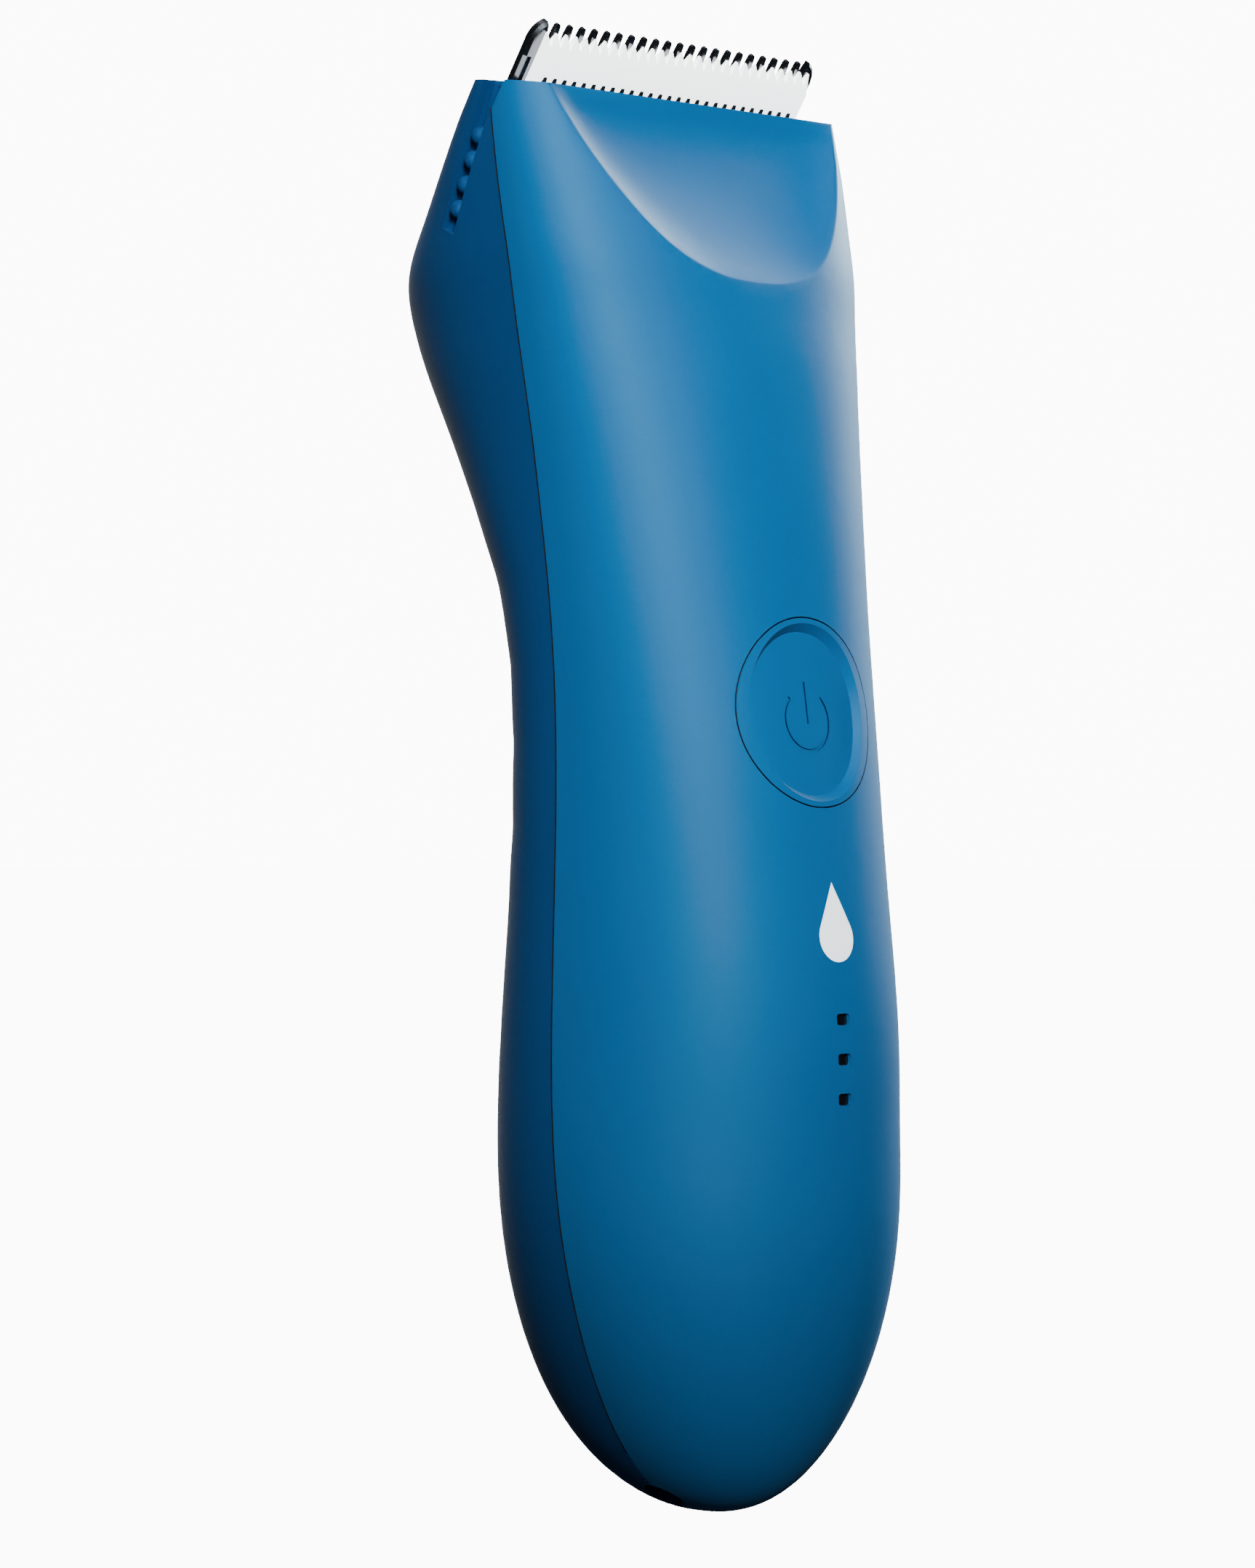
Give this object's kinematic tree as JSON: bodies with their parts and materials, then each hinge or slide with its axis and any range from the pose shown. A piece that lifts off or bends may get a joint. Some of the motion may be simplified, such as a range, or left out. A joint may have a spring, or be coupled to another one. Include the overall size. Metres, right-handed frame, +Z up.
{
  "type": "body groomer",
  "caption": "Upright cordless body groomer with a leaning toothed cutting head, a dished neck, a round power button and a swelling handle that tapers to a rounded foot.",
  "frame": {"origin": "on the vertical axis through the widest part of the handle, level with the lowest point of the rounded foot", "axes": "+Z up along the handle towards the blade, -Y out of the front where the button is, +X to the right when the front faces the viewer"},
  "size_m": [0.048, 0.0533, 0.1536],
  "materials": {
    "body_blue": "satin soft-touch blue",
    "rear_blue": "satin soft-touch darker blue",
    "mark_white": "matt white inlay",
    "seal_black": "matt black silicone",
    "window_black": "smoked light guide",
    "led": "light-emitting chip",
    "comb_black": "polished dark grey comb",
    "ceramic": "white zirconia ceramic",
    "inner_black": "moulded black",
    "spring_steel": "spring steel",
    "screw_steel": "zinc-plated steel",
    "motor_steel": "drawn steel can",
    "motor_plastic": "moulded end cap",
    "magnet": "sintered magnet",
    "rotor": "copper-wound armature",
    "cam": "low-friction plastic",
    "chassis": "moulded natural grey",
    "board_green": "green laminate",
    "switch_grey": "moulded switch body",
    "cell": "sleeved steel cell",
    "nickel": "nickel strip",
    "gold": "gold-plated brass",
    "wire": "insulated lead"
  },
  "bodies": {
    "housing": {"front_shell": "body_blue", "rear_shell": "rear_blue", "front_mark": "mark_white", "button_seal": "seal_black", "light_guides": "window_black", "light_chips": "led", "motor_can": "motor_steel", "motor_end_cap": "motor_plastic", "motor_magnets": "magnet", "inner_frame": "chassis", "frame_screws": "screw_steel", "circuit_board": "board_green", "board_screws": "screw_steel", "click_switch": "switch_grey", "battery_cell": "cell", "battery_tabs": "nickel", "contact_cups": "seal_black", "contact_pins": "gold", "charge_wires": "wire", "motor_wires": "wire", "housing_gasket": "seal_black"},
    "button": {"power_button": "body_blue"},
    "plunger": {"switch_plunger": "switch_grey"},
    "rotor": {"motor_rotor": "rotor", "motor_shaft": "motor_steel", "eccentric_cam": "cam", "cam_pin": "screw_steel"},
    "cartridge": {"fixed_comb": "comb_black", "blade_holder": "inner_black", "blade_spring": "spring_steel", "blade_screws": "screw_steel", "blade_catch": "spring_steel"},
    "cutter": {"ceramic_blade": "ceramic", "blade_carrier": "inner_black"}
  },
  "joints": [
    {"name": "button_press", "type": "slide", "parent": "housing", "child": "button", "axis": [0, 0.9893, -0.1461], "range_m": [0, 0.0004], "stiffness_N_per_m": 1500},
    {"name": "switch_press", "type": "slide", "parent": "housing", "child": "plunger", "axis": [0, 0.9893, -0.1461], "range_m": [0, 0.0004]},
    {"name": "motor_spin", "type": "hinge", "parent": "housing", "child": "rotor", "pos_m": [0, 0.01446, 0.13023], "axis": [0, -0.5592, 0.829], "continuous": true},
    {"name": "cartridge_pull", "type": "slide", "parent": "housing", "child": "cartridge", "axis": [0, -0.5592, 0.829], "range_m": [0, 0.014]},
    {"name": "cutter_stroke", "type": "slide", "parent": "cartridge", "child": "cutter", "axis": [1, 0, 0], "range_m": [-0.0008, 0.0008]}
  ],
  "couplings": [
    {"joint": "switch_press", "follows": "button_press", "ratio": 1}
  ]
}
